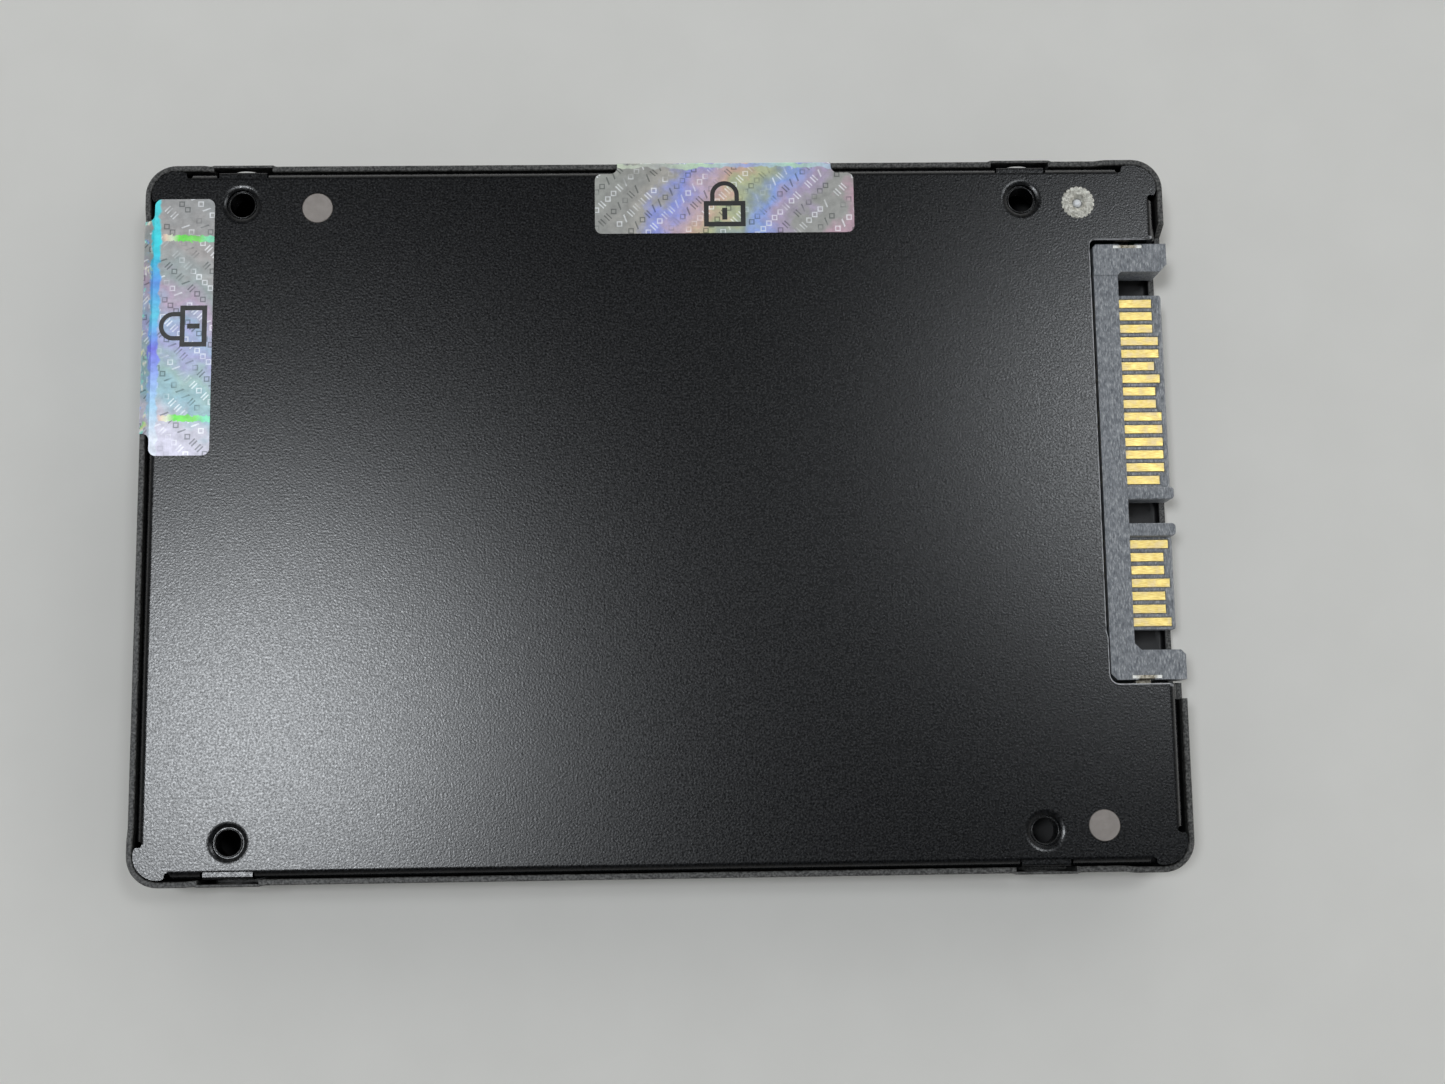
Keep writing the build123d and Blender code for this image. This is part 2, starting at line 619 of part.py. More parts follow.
def main():
    os.makedirs("parts", exist_ok=True)
    power = contact_row(P15_Y, POWER_COUNT, LONG_POWER)
    signal = contact_row(S7_Y, SIGNAL_COUNT, LONG_SIGNAL)
    clip = hold_down()
    controller_pad, nand_pads = thermal_pads()
    save("top_shell", top_shell())
    save("bottom_cover", bottom_cover())
    save("circuit_board", circuit_board())
    save("sata_housing", sata_housing(power + signal))
    save("power_contacts", [contact(y, tip) for y, tip in power])
    save("signal_contacts", [contact(y, tip) for y, tip in signal])
    save("connector_hold_downs", [clip, at_lower_end(clip)])
    save("flush_pins", [flush_pin(x, y) for x, y in PIN_AT])
    save("knurled_pin", knurled_pin())
    save("knurled_pin_core", knurled_pin_core())
    save("tray_bushes", [tray_bush(x, y) for x, y in PIN_AT + (KNURL_AT,)])
    for name, solids in board_parts().items():
        save(name, solids)
    save("controller_thermal_pad", controller_pad)
    save("nand_thermal_pads", nand_pads)
    save("side_seal", side_seal())
    save("end_seal", end_seal())
    save("front_label", front_label())


main()
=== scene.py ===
import math

import bpy
from mathutils import Matrix, Vector


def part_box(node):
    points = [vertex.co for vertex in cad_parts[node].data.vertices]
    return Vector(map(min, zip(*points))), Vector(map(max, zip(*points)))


MM = 0.001
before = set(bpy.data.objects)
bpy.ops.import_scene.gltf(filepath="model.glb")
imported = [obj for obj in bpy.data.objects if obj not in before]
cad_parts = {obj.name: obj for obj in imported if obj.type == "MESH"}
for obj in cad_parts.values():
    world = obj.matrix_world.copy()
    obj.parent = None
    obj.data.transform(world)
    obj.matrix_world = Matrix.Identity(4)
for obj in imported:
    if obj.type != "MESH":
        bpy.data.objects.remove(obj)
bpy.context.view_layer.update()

# Lengths in metres.
FLOOR_HALF = 2.0

# The sky: how fast it dims upwards, and how its bright side leans.
SKY_FALLOFF = 2.0
SKY_Y_WEIGHT = 1.2
SKY_SIDE_GAIN = 0.32
ZENITH = 0.0
SHADED_SIDE = 0.42
BRIGHT_SIDE = 3.0

# The powder coat's darkest and lightest grains, as shares of its colour.
GRAIN_DARK = 0.1
GRAIN_LIGHT = 2.2

# Lengths in millimetres.
FLOOR_DROP = 0.02
BEVEL = 0.13
BEVEL_REACH = 0.7
WALL = 0.5
RIM_BAND = 1.0
FLOOR_BAND = 0.6
BORDER_INSET = 1.8
BORDER_HALF = 0.25
SIDE_SEAL_MIDDLE = (6.65, 30.65)
END_SEAL_MIDDLE = (-46.1, 18.65)
SEAL_ROW = 1.3
SEAL_CELL = 0.8
MARK_LINE = 0.085
MARK_HALF = 0.38
LOCK_HALF = (2.05, 1.3)
LOCK_LINE = 0.24
SHACKLE_R = 1.2
SHACKLE_AT = 0.8
BODY_AT = -1.1
STREAK_END = 2.4


# ---------------------------------------------------------------- camera, floor and light

def make_camera():
    """The photograph's viewpoint: 175 mm above the drive, 28 mm towards its -Y side, nearly overhead."""
    place = Vector((1.607, -28.016, 182.289)) * MM
    forward = Vector((0.0245, 0.1409, -0.9897)).normalized()
    up = Vector((0.0115, 0.9899, 0.1412))
    right = forward.cross(up).normalized()
    up = right.cross(forward)
    turn = Matrix((right, up, -forward)).transposed()
    data = bpy.data.cameras.new("camera")
    data.sensor_width = 36.0
    data.lens = 46.01
    data.clip_start = 0.002
    data.clip_end = 20.0
    camera = bpy.data.objects.new("camera", data)
    camera.matrix_world = Matrix.Translation(place) @ turn.to_4x4()
    bpy.context.collection.objects.link(camera)
    bpy.context.scene.camera = camera


def make_light(name, place, size, light_on_drive, tint=(1.0, 1.0, 1.0)):
    """A square soft box aimed at the drive, with the light it throws on a surface facing it there."""
    place = Vector(place)
    data = bpy.data.lights.new(name, "AREA")
    data.shape = "SQUARE"
    data.size = size
    data.energy = light_on_drive * math.pi * place.length_squared
    data.color = tint
    light = bpy.data.objects.new(name, data)
    light.location = place
    light.rotation_euler = (-place).to_track_quat("-Z", "Y").to_euler()
    bpy.context.collection.objects.link(light)


def make_world(zenith, shaded_side, bright_side):
    """A room that is dark overhead and light low down, most of all towards +X and +Y."""
    world = bpy.data.worlds.new("studio")
    world.use_nodes = True
    tree = world.node_tree

    def math_node(kind, first, second):
        made = tree.nodes.new("ShaderNodeMath")
        made.operation = kind
        made.use_clamp = kind == "SUBTRACT"
        for socket, value in zip(made.inputs, (first, second)):
            if isinstance(value, bpy.types.NodeSocket):
                tree.links.new(value, socket)
            else:
                socket.default_value = value
        return made.outputs[0]

    direction = tree.nodes.new("ShaderNodeTexCoord").outputs["Generated"]
    split = tree.nodes.new("ShaderNodeSeparateXYZ")
    tree.links.new(direction, split.inputs[0])
    x, y, z = split.outputs
    above = math_node("MAXIMUM", z, 0.0)
    lowness = math_node("POWER", math_node("SUBTRACT", 1.0, above), SKY_FALLOFF)
    lean = math_node("ADD", x, math_node("MULTIPLY", y, SKY_Y_WEIGHT))
    side = math_node("ADD", math_node("MULTIPLY", lean, SKY_SIDE_GAIN), 0.5)
    spread = math_node("ADD", shaded_side, math_node("MULTIPLY", side, bright_side - shaded_side))
    strength = math_node("ADD", zenith, math_node("MULTIPLY", lowness, spread))
    background = tree.nodes["Background"]
    background.inputs["Color"].default_value = (1.0, 1.0, 0.98, 1.0)
    tree.links.new(strength, background.inputs["Strength"])
    bpy.context.scene.world = world


def make_floor():
    """A plain pale floor, just clear of the drive's underside."""
    z = -FLOOR_DROP * MM
    corners = [(-FLOOR_HALF, -FLOOR_HALF, z), (FLOOR_HALF, -FLOOR_HALF, z),
               (FLOOR_HALF, FLOOR_HALF, z), (-FLOOR_HALF, FLOOR_HALF, z)]
    mesh = bpy.data.meshes.new("floor")
    mesh.from_pydata(corners, [], [(0, 1, 2, 3)])
    floor = bpy.data.objects.new("floor", mesh)
    bpy.context.collection.objects.link(floor)
    shader = Shader("floor", Roughness=0.7)
    cloud = shader.noise(9.0, detail=3.0)
    shader.link(shader.mix(cloud, (0.8, 0.79, 0.755), (0.86, 0.85, 0.815)), "Base Color")
    mesh.materials.append(shader.material)


# ---------------------------------------------------------------- node helpers

class Shader:
    """A material and the node shorthands that the finishes below share. Lengths are in millimetres."""

    def __init__(self, name, **values):
        self.material = bpy.data.materials.new(name)
        self.material.use_nodes = True
        self.tree = self.material.node_tree
        self.surface = self.tree.nodes["Principled BSDF"]
        for key, value in values.items():
            self.surface.inputs[key.replace("_", " ")].default_value = value
        coordinates = self.tree.nodes.new("ShaderNodeTexCoord").outputs["Object"]
        scale = self.node("ShaderNodeVectorMath", {0: coordinates, "Scale": 1.0 / MM}, operation="SCALE")
        self.place = scale.outputs[0]

    def node(self, kind, links=None, **props):
        made = self.tree.nodes.new(kind)
        for key, value in props.items():
            setattr(made, key, value)
        for key, value in (links or {}).items():
            if isinstance(value, bpy.types.NodeSocket):
                self.tree.links.new(value, made.inputs[key])
            else:
                made.inputs[key].default_value = value
        return made

    def link(self, socket, target):
        self.tree.links.new(socket, self.surface.inputs[target])

    def split(self):
        """The x, y and z of each point, in millimetres."""
        return self.node("ShaderNodeSeparateXYZ", {0: self.place}).outputs

    def stretched(self, x=1.0, y=1.0, z=1.0):
        """The place with each axis drawn out by that factor."""
        scale = Vector((1.0 / x, 1.0 / y, 1.0 / z))
        return self.node("ShaderNodeVectorMath", {0: self.place, 1: scale}, operation="MULTIPLY").outputs[0]

    def math(self, kind, first, second=0.0, clamp=False):
        made = self.node("ShaderNodeMath", {0: first, 1: second}, operation=kind, use_clamp=clamp)
        return made.outputs[0]

    def noise(self, size, detail=2.0, rough=0.5, vector=None):
        """Noise whose features are about size across."""
        return self.node("ShaderNodeTexNoise", {
            "Vector": vector or self.place, "Scale": 1.0 / size, "Detail": detail,
            "Roughness": rough}).outputs["Fac"]

    def cells(self, size):
        """Voronoi cells about size across: the distance from each centre, and a random colour each."""
        made = self.node("ShaderNodeTexVoronoi", {"Vector": self.place, "Scale": 1.0 / size})
        return made.outputs["Distance"], made.outputs["Color"]

    def ramp(self, value, low, high, to_low=0.0, to_high=1.0):
        """The value's span from low to high, mapped to the span from to_low to to_high."""
        return self.node("ShaderNodeMapRange", {
            "Value": value, "From Min": low, "From Max": high,
            "To Min": to_low, "To Max": to_high}).outputs["Result"]

    def colours(self, value, *stops):
        """A colour ramp through (position, colour) stops."""
        made = self.node("ShaderNodeValToRGB", {"Fac": value})
        elements = made.color_ramp.elements
        while len(elements) < len(stops):
            elements.new(1.0)
        for element, (position, colour) in zip(elements, stops):
            element.position = position
            element.color = (*colour, 1.0)
        return made.outputs["Color"]

    def mix(self, factor, first, second, blend="MIX"):
        """The first colour at a factor of 0, and the second at 1."""
        made = self.node("ShaderNodeMix", data_type="RGBA", blend_type=blend)
        for socket, value in ((made.inputs[0], factor), (made.inputs[6], first), (made.inputs[7], second)):
            if isinstance(value, bpy.types.NodeSocket):
                self.tree.links.new(value, socket)
            elif isinstance(value, tuple):
                socket.default_value = (*value, 1.0)
            else:
                socket.default_value = value
        return made.outputs[2]

    def bump(self, height, distance):
        """Relief in a height of 0 to 1 that stands distance high."""
        made = self.node("ShaderNodeBump", {"Height": height, "Distance": distance * MM})
        made.inputs["Strength"].default_value = 1.0
        self.link(made.outputs["Normal"], "Normal")

    def within(self, value, half):
        """1 where a value lies closer than half to zero."""
        return self.math("LESS_THAN", self.math("ABSOLUTE", value), half)

    def both(self, first, second):
        return self.math("MINIMUM", first, second)

    def either(self, first, second):
        return self.math("MAXIMUM", first, second)


def shade(colour, factor):
    return tuple(channel * factor for channel in colour)


# ---------------------------------------------------------------- painted sheet metal

def speckled_coat(shader, colour, roughness, contrast, grain):
    """A satin coat's colour, gloss and relief: a fine, even speckle of smoother and rougher grains."""
    speckle = shader.noise(0.19, detail=1.0, rough=0.5)
    speckle = shader.ramp(speckle, 0.2, 0.8, roughness - contrast, roughness + contrast)
    shader.link(speckle, "Roughness")
    fine = shader.noise(0.2, detail=1.0, rough=0.5)
    shader.bump(fine, grain)
    return shader.mix(shader.ramp(fine, 0.35, 0.7), shade(colour, GRAIN_DARK), shade(colour, GRAIN_LIGHT))


def cover_paint():
    """Black satin powder coat with pale dust specks, and a painted highlight: the cut-out's bevel is
    painted pale grey in patches.
    """
    shader = Shader("cover_paint")
    tone = speckled_coat(shader, (0.0034, 0.0038, 0.0046), 0.25, 0.09, 0.01)
    distance, random = shader.cells(7.0)
    chosen = shader.math("GREATER_THAN", random, 0.72)
    dust = shader.both(shader.math("LESS_THAN", distance, 0.011), chosen)
    tone = shader.mix(dust, tone, (0.45, 0.46, 0.46))
    low, high = (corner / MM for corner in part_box("sata_housing"))
    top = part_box("bottom_cover")[1].z / MM
    x, y, z = shader.split()
    near = shader.math("GREATER_THAN", x, low.x - BEVEL_REACH)
    across = shader.math("SUBTRACT", y, (low.y + high.y) / 2)
    beside = shader.within(across, (high.y - low.y) / 2 + BEVEL_REACH)
    slope = shader.within(shader.math("SUBTRACT", z, top - BEVEL / 2), BEVEL / 2 - 0.005)
    edge = shader.both(slope, shader.both(near, beside))
    # Painted highlight: the bevel along the cut-out is painted pale grey, broken into patches by noise, for
    # the light it catches.
    worn = shader.ramp(shader.noise(0.8, detail=3.0), 0.35, 0.5, 0.25, 1.0)
    tone = shader.mix(shader.math("MULTIPLY", edge, worn), tone, (0.36, 0.37, 0.39))
    shader.link(tone, "Base Color")
    return shader.material


def tray_paint():
    """The same coat, grey on the walls and rim, with painted shade: the faces inside the tray are painted
    near black.
    """
    shader = Shader("tray_paint")
    outside = speckled_coat(shader, (0.058, 0.058, 0.056), 0.5, 0.06, 0.002)
    (left, front, _), (right, back, top) = (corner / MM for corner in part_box("top_shell"))
    x, y, z = shader.split()
    beside_x = shader.either(shader.math("SUBTRACT", x, right), shader.math("SUBTRACT", left, x))
    beside_y = shader.either(shader.math("SUBTRACT", y, back), shader.math("SUBTRACT", front, y))
    depth = shader.either(beside_x, beside_y)
    # Painted shade: faces inside the tray, below the rim band and above the floor band, are painted near
    # black for the shade that falls there.
    shaded_inside = shader.both(shader.math("LESS_THAN", depth, -WALL), shader.math("LESS_THAN", z, top - RIM_BAND))
    shaded_inside = shader.both(shaded_inside, shader.math("GREATER_THAN", z, FLOOR_BAND))
    shader.link(shader.mix(shaded_inside, outside, (0.009, 0.009, 0.01)), "Base Color")
    return shader.material


# ---------------------------------------------------------------- metals

def brushed_metal(name, colour, roughness, along=(1.0, 1.0, 1.0), grain=0.004, metallic=1.0):
    """Plated metal whose fine scratches run along one axis, with faint cloudy staining."""
    shader = Shader(name, Metallic=metallic)
    scratches = shader.noise(0.05, detail=3.0, rough=0.6, vector=shader.stretched(*along))
    cloud = shader.noise(0.7, detail=3.0)
    tone = shader.mix(shader.ramp(cloud, 0.3, 0.7), shade(colour, 0.82), colour)
    shader.link(tone, "Base Color")
    shader.link(shader.ramp(scratches, 0.3, 0.7, roughness - 0.07, roughness + 0.07), "Roughness")
    shader.bump(scratches, grain)
    return shader.material


def gold_plate():
    """Contact plating: drawn lengthwise, deeper yellow where it is worn and paler where it shines."""
    shader = Shader("contact_gold", Metallic=0.9)
    drawn = shader.noise(0.07, detail=3.0, vector=shader.stretched(9.0, 1.0, 1.0))
    patch = shader.noise(0.9, detail=2.0)
    warm = shader.mix(shader.ramp(drawn, 0.35, 0.65), (0.72, 0.52, 0.15), (0.94, 0.76, 0.3))
    shader.link(shader.mix(shader.ramp(patch, 0.5, 0.7, 0.0, 0.6), warm, (0.95, 0.78, 0.5)), "Base Color")
    shader.link(shader.ramp(patch, 0.3, 0.7, 0.34, 0.46), "Roughness")
    shader.bump(drawn, 0.008)
    return shader.material


def clip_steel():
    """Tinned clip bars with a painted highlight, pale at their bent tips, and painted shade, dark brown
    over real staining, between.
    """
    shader = Shader("tinned_steel", Metallic=0.5)
    low, high = (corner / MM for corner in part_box("connector_hold_downs"))
    along = shader.math("ABSOLUTE", shader.math("SUBTRACT", shader.split()[0], (low.x + high.x) / 2))
    # Painted light: the tips are painted pale as a highlight and the middle dark brown as shade; the noise
    # over both is real staining.
    lit_ends = shader.ramp(along, 0.6, 1.1)
    stain = shader.noise(0.35, detail=4.0, rough=0.65)
    stained_and_shaded = shader.mix(shader.ramp(stain, 0.4, 0.6), (0.16, 0.13, 0.09), (0.62, 0.58, 0.47))
    bright = shader.mix(shader.ramp(stain, 0.35, 0.6), (0.68, 0.68, 0.62), (0.95, 0.95, 0.92))
    shader.link(shader.mix(lit_ends, stained_and_shaded, bright), "Base Color")
    shader.link(shader.ramp(stain, 0.3, 0.7, 0.3, 0.5), "Roughness")
    shader.bump(stain, 0.02)
    return shader.material


def hammered_nickel():
    """The knurled pin's rough cast-looking face."""
    shader = Shader("knurled_steel", Metallic=0.6)
    rough = shader.noise(0.3, detail=4.0, rough=0.7)
    tone = shader.mix(shader.ramp(rough, 0.36, 0.64), (0.28, 0.27, 0.23), (0.8, 0.79, 0.72))
    shader.link(tone, "Base Color")
    shader.link(shader.ramp(rough, 0.3, 0.7, 0.55, 0.35), "Roughness")
    shader.bump(rough, 0.06)
    return shader.material


# ---------------------------------------------------------------- connector and board

def glass_filled_plastic():
    """Blue-grey liquid-crystal polymer: streaky flow lines, and glass fibres that catch the light."""
    shader = Shader("connector_plastic")
    flow = shader.noise(0.5, detail=5.0, rough=0.7, vector=shader.stretched(1.0, 1.8, 1.0))
    fibre = shader.noise(0.16, detail=3.0, rough=0.6, vector=shader.stretched(1.0, 3.2, 1.0))
    tone = shader.mix(shader.ramp(flow, 0.32, 0.68), (0.13, 0.145, 0.168), (0.29, 0.306, 0.328))
    tone = shader.mix(shader.ramp(fibre, 0.52, 0.8), tone, (0.6, 0.62, 0.64))
    tone = shader.mix(shader.ramp(fibre, 0.46, 0.24), tone, (0.06, 0.068, 0.082))
    shader.link(tone, "Base Color")
    shader.link(shader.ramp(flow, 0.3, 0.7, 0.48, 0.34), "Roughness")
    shader.bump(fibre, 0.022)
    return shader.material


def solder_mask():
    """Green mask over copper: tracks show as raised, lighter, wavy lines running one way, with gold vias.
    """
    shader = Shader("board_laminate", Roughness=0.28)
    x, y, _ = shader.split()
    bend = shader.math("MULTIPLY", shader.noise(6.0, detail=0.0), 5.0)
    lines = shader.math("FRACT", shader.math("MULTIPLY", shader.math("ADD", y, bend), 1.6))
    area = shader.math("GREATER_THAN", shader.noise(9.0, detail=1.0), 0.5)
    track = shader.both(shader.math("LESS_THAN", lines, 0.45), area)
    tone = shader.mix(track, (0.008, 0.06, 0.035), (0.014, 0.12, 0.06))
    distance, random = shader.cells(2.4)
    via = shader.both(shader.math("LESS_THAN", distance, 0.09), shader.math("GREATER_THAN", random, 0.45))
    tone = shader.mix(via, tone, (0.7, 0.5, 0.2))
    shader.link(tone, "Base Color")
    shader.link(via, "Metallic")
    shader.bump(track, 0.02)
    return shader.material


def moulded(name, colour, roughness, size=0.08, relief=0.006, spread=0.3):
    """Moulded, pressed or fired material: a fine even texture with slow changes of tone."""
    shader = Shader(name)
    fine = shader.noise(size, detail=3.0, rough=0.6)
    slow = shader.noise(2.0, detail=2.0)
    tone = shader.mix(shader.ramp(fine, 0.35, 0.7), shade(colour, 1 - spread), shade(colour, 1 + spread))
    tone = shader.mix(shader.ramp(slow, 0.3, 0.7), tone, shade(colour, 1.1))
    shader.link(tone, "Base Color")
    shader.link(shader.ramp(slow, 0.3, 0.7, roughness - 0.06, roughness + 0.06), "Roughness")
    shader.bump(fine, relief)
    return shader.material


def label_stock():
    """Blank coated paper inside a plain grey border, with the faint fibre relief of the stock."""
    shader = Shader("label_film")
    low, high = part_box("front_label")
    centre = (low + high) / 2 / MM
    half = (high - low) / 2 / MM
    x, y, _ = shader.split()
    across = shader.math("ABSOLUTE", shader.math("SUBTRACT", x, centre.x))
    up = shader.math("ABSOLUTE", shader.math("SUBTRACT", y, centre.y))
    edge = shader.either(shader.math("SUBTRACT", across, half.x), shader.math("SUBTRACT", up, half.y))
    border = shader.within(shader.math("ADD", edge, BORDER_INSET), BORDER_HALF)
    fibre = shader.noise(0.12, detail=4.0, rough=0.7)
    tone = shader.mix(shader.ramp(fibre, 0.3, 0.7), (0.68, 0.68, 0.66), (0.78, 0.78, 0.76))
    shader.link(shader.mix(border, tone, (0.12, 0.13, 0.15)), "Base Color")
    shader.link(shader.ramp(fibre, 0.3, 0.7, 0.42, 0.55), "Roughness")
    shader.bump(fibre, 0.006)
    return shader.material


# ---------------------------------------------------------------- tamper seals

def seal_axes(shader, node):
    """Distances along a seal and outwards across it from the middle of its wide part."""
    x, y, _ = shader.split()
    if node == "side_seal":
        middle_x, middle_y = SIDE_SEAL_MIDDLE
        return shader.math("SUBTRACT", x, middle_x), shader.math("SUBTRACT", y, middle_y)
    middle_x, middle_y = END_SEAL_MIDDLE
    return shader.math("SUBTRACT", y, middle_y), shader.math("SUBTRACT", middle_x, x)


def seal_rows(shader, along, out):
    """Diagonal rows of diamonds and bars. Gives the marks, and whether each row is a dark one."""
    root = math.sqrt(0.5)
    run = shader.math("MULTIPLY", shader.math("ADD", along, out), root)
    rise = shader.math("MULTIPLY", shader.math("SUBTRACT", out, along), root)
    row = shader.math("DIVIDE", rise, SEAL_ROW)
    index = shader.math("FLOOR", row)
    run = shader.math("ADD", shader.math("DIVIDE", run, SEAL_CELL), shader.math("MULTIPLY", index, 0.37))
    column = shader.math("FLOOR", run)
    t = shader.math("MULTIPLY", shader.math("SUBTRACT", shader.math("FRACT", row), 0.5), SEAL_ROW)
    s = shader.math("MULTIPLY", shader.math("SUBTRACT", shader.math("FRACT", run), 0.5), SEAL_CELL)
    cell = shader.node("ShaderNodeCombineXYZ", {"X": column, "Y": index}).outputs[0]
    chance = shader.node("ShaderNodeTexWhiteNoise", {"Vector": cell}, noise_dimensions="3D")
    chance = chance.outputs["Value"]
    spread = shader.math("ADD", shader.math("ABSOLUTE", s), shader.math("ABSOLUTE", t))
    diamond = shader.within(shader.math("SUBTRACT", spread, 0.31), MARK_LINE)
    tall = shader.within(t, MARK_HALF)
    bar = shader.both(shader.within(shader.math("SUBTRACT", shader.math("ABSOLUTE", s), 0.15), 0.07), tall)
    slant = shader.math("SUBTRACT", s, shader.math("MULTIPLY", t, 0.45))
    slash = shader.both(shader.within(slant, MARK_LINE), tall)
    marks = shader.mix(shader.math("GREATER_THAN", chance, 0.4), diamond, bar)
    marks = shader.mix(shader.math("GREATER_THAN", chance, 0.68), marks, slash)
    marks = shader.mix(shader.math("GREATER_THAN", chance, 0.9), marks, (0.0, 0.0, 0.0))
    half = shader.math("FRACT", shader.math("MULTIPLY", index, 0.5))
    return marks, shader.math("GREATER_THAN", half, 0.25)


def padlock(shader, along, out):
    """The generic printed symbol in the middle: the outline of a plain padlock, 4.6 mm high."""
    half_width, half_height = LOCK_HALF
    from_body = shader.math("SUBTRACT", out, BODY_AT)
    across = shader.math("SUBTRACT", shader.math("ABSOLUTE", along), half_width)
    height = shader.math("SUBTRACT", shader.math("ABSOLUTE", from_body), half_height)
    body = shader.within(shader.math("ADD", shader.either(across, height), LOCK_LINE), LOCK_LINE)
    up = shader.either(shader.math("SUBTRACT", out, SHACKLE_AT), 0.0)
    squares = shader.math("ADD", shader.math("MULTIPLY", along, along), shader.math("MULTIPLY", up, up))
    shackle = shader.within(shader.math("SUBTRACT", shader.math("SQRT", squares), SHACKLE_R), 0.22)
    shackle = shader.both(shackle, shader.math("GREATER_THAN", out, 0.1))
    keyhole = shader.both(shader.within(along, 0.25), shader.within(from_body, 0.6))
    return shader.either(shader.either(body, shackle), keyhole)


def printed_marks(shader, film, along, out):
    """The film with its rows of marks, brighter and darker row by row, and worn away in places."""
    marks, dark_row = seal_rows(shader, along, out)
    fade = shader.ramp(shader.noise(2.0, detail=1.0), 0.36, 0.52, 0.25, 1.0)
    bright = shader.mix(0.6, shader.mix(1.0, film, (1.5, 1.5, 1.5), "MULTIPLY"), (0.95, 0.97, 1.0))
    dark = shader.mix(1.0, film, (0.46, 0.48, 0.48), "MULTIPLY")
    return shader.mix(shader.math("MULTIPLY", marks, fade), film, shader.mix(dark_row, bright, dark))


def green_streak(shader, film, along, out, place):
    """The film with a ragged bright line across its wide part, reddest at the outer end."""
    middle = shader.math("ADD", place, shader.math("MULTIPLY", out, 0.03))
    ragged = shader.math("MULTIPLY", shader.noise(0.35, detail=2.0), 0.6)
    off = shader.math("ABSOLUTE", shader.math("SUBTRACT", along, middle))
    line = shader.math("LESS_THAN", off, ragged)
    line = shader.math("MULTIPLY", line, shader.ramp(out, STREAK_END - 0.1, STREAK_END - 0.7))
    tint = shader.colours(shader.ramp(out, STREAK_END, -STREAK_END), *STREAK_TINTS)
    return shader.mix(line, film, tint)


def fold_glint_strip(shader, film, along, out, fold_at, fold_width, fold_glint_tints):
    """The film with a painted highlight: an uneven band of strong colour where it bends over the rim."""
    bend = shader.math("MULTIPLY", shader.math("SUBTRACT", shader.noise(1.2, detail=2.0), 0.5), 1.1)
    past = shader.math("SUBTRACT", shader.math("ADD", out, bend), fold_at)
    away = shader.math("DIVIDE", shader.math("ABSOLUTE", past), fold_width)
    strip = shader.ramp(shader.math("SUBTRACT", 1.0, away, True), 0.0, 0.35)
    return shader.mix(strip, film, shader.colours(shader.ramp(along, -11.0, 11.0), *fold_glint_tints))


def fold_glints(shader, film, out, stretch, fold_at):
    """The film with rainbow glints over the part past the bend."""
    spark = shader.noise(0.42, detail=2.0, vector=shader.stretched(*stretch))
    spark = shader.ramp(spark, 0.55, 0.66)
    spark = shader.math("MULTIPLY", spark, shader.ramp(out, fold_at + 0.15, fold_at + 0.5))
    return shader.mix(spark, film, shader.colours(shader.noise(1.4, detail=1.0), *GLINT_TINTS))


def diffractive_film(node, tints, streaks, fold_at, fold_glint_tints, fold_width):
    """Silver film with rainbow patches, rows of marks, a printed padlock and glints where it is folded.

    tints are colour stops along the seal; streaks the places along it where a bright green line runs
    across; fold_at the distance out at which it bends, where fold_glint_tints show over fold_width.
    """
    shader = Shader(node, Metallic=0.2, Roughness=0.38, Coat_Weight=0.3, Coat_Roughness=0.15)
    along, out = seal_axes(shader, node)
    skew = shader.math("ADD", along, shader.math("MULTIPLY", out, -0.6))
    wander = shader.math("MULTIPLY", shader.math("SUBTRACT", shader.noise(2.2, detail=4.0), 0.5), 8.0)
    film = shader.colours(shader.ramp(shader.math("ADD", skew, wander), -13.0, 13.0), *tints)
    film = printed_marks(shader, film, along, out)
    for place in streaks:
        film = green_streak(shader, film, along, out, place)
    # Painted highlights: the band of strong colour at the fold, and the glints past it.
    film = fold_glint_strip(shader, film, along, out, fold_at, fold_width, fold_glint_tints)
    stretch = (2.2, 1.0, 1.0) if node == "side_seal" else (1.0, 2.2, 1.0)
    film = fold_glints(shader, film, out, stretch, fold_at)
    film = shader.mix(padlock(shader, along, out), film, (0.03, 0.03, 0.03))
    mottle = shader.ramp(shader.noise(0.8, detail=4.0, rough=0.65), 0.3, 0.7, 0.82, 1.18)
    mottled = shader.node("ShaderNodeHueSaturation", {"Color": film, "Value": mottle}).outputs[0]
    shader.link(mottled, "Base Color")
    shader.bump(shader.noise(1.3, detail=3.0), 0.03)
    return shader.material


# Colour stops: places from 0 to 1 along a seal or across it, and the film's colour there.
STREAK_TINTS = (
    (0.0, (1.0, 0.5, 0.4)), (0.25, (0.9, 1.0, 0.75)), (0.4, (0.2, 0.95, 0.12)),
    (0.8, (0.3, 0.9, 0.2)), (1.0, (0.3, 0.9, 0.6)))
GLINT_TINTS = (
    (0.25, (0.25, 0.95, 0.35)), (0.36, (0.95, 0.95, 0.5)), (0.44, (1.0, 1.0, 1.0)),
    (0.52, (0.35, 0.95, 0.75)), (0.6, (0.3, 0.45, 1.0)), (0.7, (0.75, 0.85, 1.0)),
    (0.8, (1.0, 0.6, 0.55)))
SIDE_TINTS = (
    (0.0, (0.43, 0.44, 0.41)), (0.12, (0.4, 0.4, 0.38)), (0.22, (0.52, 0.5, 0.46)),
    (0.3, (0.36, 0.42, 0.95)), (0.38, (0.66, 0.52, 0.66)), (0.47, (0.8, 0.56, 0.44)),
    (0.53, (0.62, 0.66, 0.4)), (0.6, (0.42, 0.5, 0.46)), (0.68, (0.36, 0.5, 0.98)),
    (0.76, (0.56, 0.46, 0.66)), (0.84, (0.42, 0.42, 0.4)), (0.93, (0.44, 0.44, 0.42)),
    (1.0, (0.62, 0.42, 0.5)))
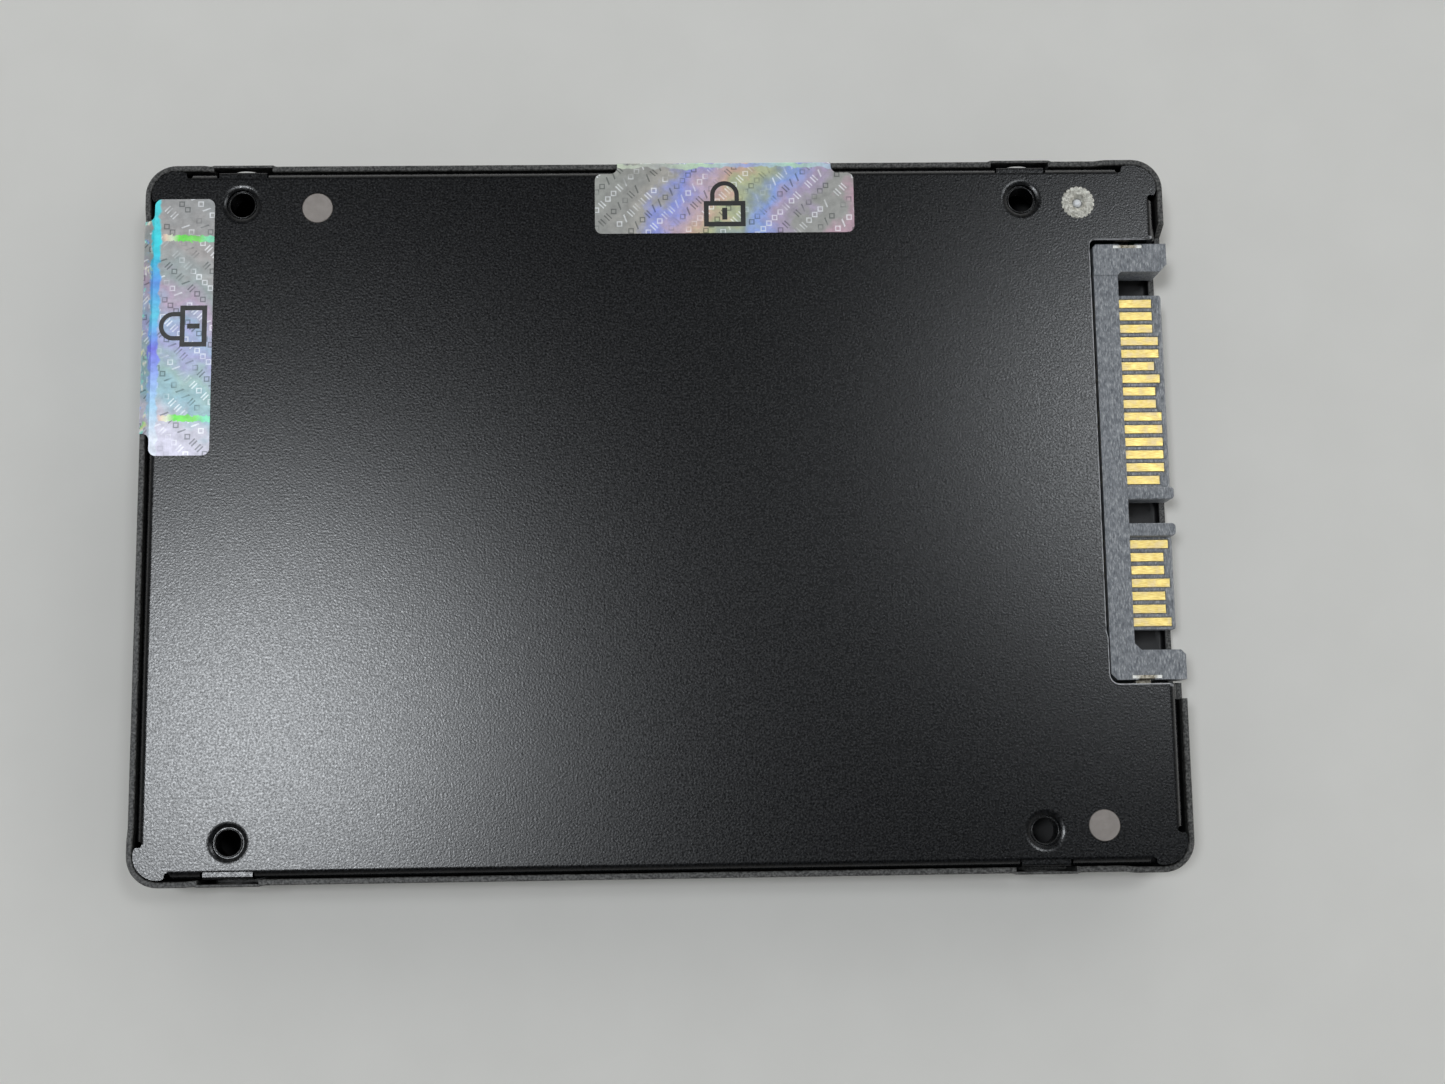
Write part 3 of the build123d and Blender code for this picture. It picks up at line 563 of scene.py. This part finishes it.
# The colours of the painted highlight where the side seal bends over the rim.
SIDE_FOLD_GLINT = (
    (0.0, (0.8, 0.9, 0.7)), (0.2, (0.6, 0.62, 0.6)), (0.4, (0.7, 0.95, 0.7)),
    (0.6, (0.5, 0.55, 0.95)), (0.8, (0.6, 0.9, 0.7)), (1.0, (0.6, 0.7, 0.95)))
END_TINTS = (
    (0.0, (0.74, 0.72, 0.86)), (0.13, (0.64, 0.63, 0.72)), (0.22, (0.36, 0.58, 0.66)),
    (0.32, (0.42, 0.6, 0.58)), (0.42, (0.5, 0.5, 0.8)), (0.5, (0.44, 0.58, 0.78)), (0.6, (0.58, 0.46, 0.6)),
    (0.7, (0.42, 0.48, 0.48)), (0.82, (0.5, 0.47, 0.46)), (1.0, (0.42, 0.43, 0.43)))
# The colours of the painted highlight where the end seal bends over the rim.
END_FOLD_GLINT = (
    (0.0, (0.8, 0.85, 0.95)), (0.15, (0.45, 0.75, 1.0)), (0.4, (0.25, 0.25, 1.0)),
    (0.55, (0.15, 0.75, 1.0)), (0.7, (0.15, 0.4, 1.0)), (0.85, (0.05, 0.85, 1.0)),
    (1.0, (0.1, 0.9, 1.0)))


# ---------------------------------------------------------------- which node gets which finish

def paint(material, *nodes):
    for node in nodes:
        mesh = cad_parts[node].data
        mesh.materials.clear()
        mesh.materials.append(material)


def paint_nodes():
    paint(cover_paint(), "bottom_cover")
    paint(tray_paint(), "top_shell")
    paint(solder_mask(), "circuit_board")
    paint(glass_filled_plastic(), "sata_housing")
    paint(gold_plate(), "power_contacts", "signal_contacts")
    paint(clip_steel(), "connector_hold_downs")
    paint(brushed_metal("pin_steel", (0.32, 0.29, 0.27), 0.5, (20.0, 1.0, 1.0), metallic=0.5), "flush_pins")
    paint(hammered_nickel(), "knurled_pin")
    # Painted highlight: the core's steel is painted near white and barely metallic, for the bright light on
    # its top.
    paint(brushed_metal("core_steel", (0.95, 0.97, 1.0), 0.45, metallic=0.2), "knurled_pin_core")
    paint(brushed_metal("bush_steel", (0.6, 0.6, 0.6), 0.4), "tray_bushes")
    paint(moulded("chip_epoxy", (0.03, 0.03, 0.032), 0.55), "controller_chip", "dram_chips",
          "nand_packages_cover_side", "nand_packages_label_side", "power_management_chip",
          "serial_flash_chip")
    paint(moulded("ferrite", (0.09, 0.09, 0.095), 0.6, relief=0.01), "power_inductors")
    paint(moulded("capacitor_case", (0.5, 0.33, 0.08), 0.35, spread=0.12), "hold_up_capacitors")
    paint(moulded("ceramic", (0.45, 0.33, 0.22), 0.4, spread=0.12), "ceramic_capacitors")
    paint(moulded("resistor_glaze", (0.04, 0.04, 0.05), 0.25), "chip_resistors")
    paint(brushed_metal("crystal_can", (0.72, 0.72, 0.7), 0.3, (1.0, 12.0, 1.0)), "crystal_oscillator")
    paint(moulded("fuse_body", (0.6, 0.6, 0.55), 0.5, spread=0.08), "input_fuses")
    paint(moulded("thermal_pad", (0.42, 0.5, 0.56), 0.7, size=0.2, relief=0.02, spread=0.08),
          "controller_thermal_pad", "nand_thermal_pads")
    paint(label_stock(), "front_label")
    paint(diffractive_film("side_seal", SIDE_TINTS, (), 3.9, SIDE_FOLD_GLINT, 0.3), "side_seal")
    paint(diffractive_film("end_seal", END_TINTS, (8.8, -9.1), 2.7, END_FOLD_GLINT, 0.55), "end_seal")


bpy.context.scene.view_settings.view_transform = "Standard"
make_camera()
make_floor()
make_world(ZENITH, SHADED_SIDE, BRIGHT_SIDE)
make_light("left_lamp", (-0.273, 0.015, 1.0), 0.2, 0.9, (0.96, 1.0, 1.04))
make_light("right_lamp", (0.352, 0.216, 1.0), 0.2, 0.36, (0.96, 1.0, 1.04))
paint_nodes()
